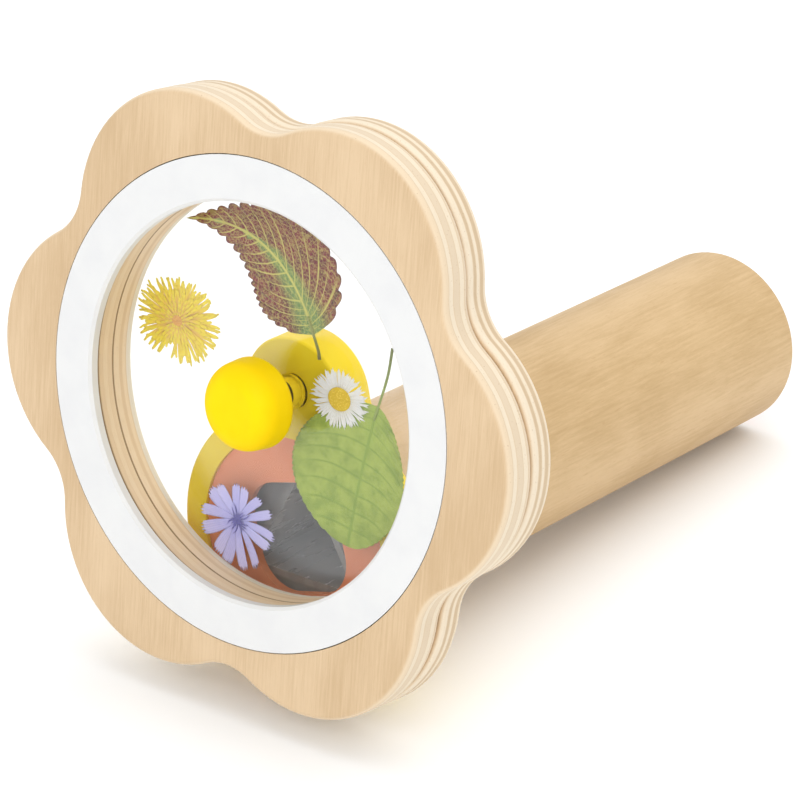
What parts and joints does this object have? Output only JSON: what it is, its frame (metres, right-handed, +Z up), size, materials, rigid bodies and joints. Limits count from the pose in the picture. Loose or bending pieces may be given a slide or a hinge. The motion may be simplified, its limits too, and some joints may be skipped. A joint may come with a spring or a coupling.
{
  "type": "kaleidoscope",
  "caption": "Wooden kaleidoscope: a straight tube with a mirror prism, and a lobed plywood wheel of pressed plants that turns on an axle before its masked end.",
  "frame": {"origin": "centre of the bounding box's base: the table under the rim of the bracket and the tube's far end, with the wheel just clear of it", "axes": "+Z up; -Y towards the wheel's front face; +Y back along the tube, which slopes down slightly to its far end; +X to the right seen from the front"},
  "size_m": [0.1474, 0.2047, 0.1423],
  "materials": {
    "plywood": "satin, light beige face, layered edge",
    "tube_wood": "satin turned wood, grain along the tube",
    "dowel_wood": "plain",
    "white_plastic": "satin",
    "clear_acrylic": "clear, polished",
    "yellow_plastic": "satin yellow",
    "dark_plastic": "satin dark brown",
    "yellow_lacquer": "smooth yellow",
    "salmon_board": "matte salmon",
    "mirror": "mirror",
    "foam": "foam",
    "card": "matte black card",
    "steel": "satin zinc-plated",
    "brass": "plain",
    "yellow_petals": "pressed flower, dry",
    "maroon_leaf": "pressed leaf, dry",
    "white_petals": "pressed flower, dry",
    "green_leaf": "pressed leaf, dry",
    "blue_petals": "pressed flower, dry"
  },
  "bodies": {
    "handle": {"bracket": "yellow_lacquer", "mask_disc": "salmon_board", "tube": "tube_wood", "mirror_1": "mirror", "mirror_2": "mirror", "mirror_3": "mirror", "packing_1": "foam", "packing_2": "foam", "packing_3": "foam", "eyepiece_spacer": "card", "eyepiece_window": "clear_acrylic", "eyepiece_disc": "salmon_board", "axle_bolt": "steel", "axle_nut": "steel", "axle_washer": "steel"},
    "wheel": {"rear_plate": "plywood", "rear_window": "clear_acrylic", "front_window": "clear_acrylic", "centre_bush": "yellow_plastic", "locating_dowels": "dowel_wood", "dandelion": "yellow_petals", "coleus_leaf": "maroon_leaf", "daisy": "white_petals", "round_leaf": "green_leaf", "chicory": "blue_petals"},
    "front_frame": {"front_plate": "plywood", "white_ring": "white_plastic"},
    "spacer": {"spacer_sleeve": "dark_plastic"},
    "knob": {"knob": "yellow_lacquer", "knob_insert": "brass"}
  },
  "joints": [
    {"name": "wheel_spin", "type": "hinge", "parent": "handle", "child": "wheel", "pos_m": [0, -0.09275, 0.07485], "axis": [0, 0.9897, -0.1433], "continuous": true},
    {"name": "front_frame_lift", "type": "slide", "parent": "wheel", "child": "front_frame", "axis": [0, -0.9897, 0.1433], "range_m": [0, 0.012]},
    {"name": "sleeve_slide", "type": "slide", "parent": "handle", "child": "spacer", "axis": [0, -0.9897, 0.1433], "range_m": [0, 0.0049]},
    {"name": "knob_turn", "type": "hinge", "parent": "spacer", "child": "knob", "pos_m": [0, -0.09275, 0.07485], "axis": [0, -0.9897, 0.1433], "range_deg": [0, 2519]}
  ],
  "couplings": [
    {"joint": "sleeve_slide", "follows": "knob_turn", "m_per_rad": 0.00011141}
  ]
}
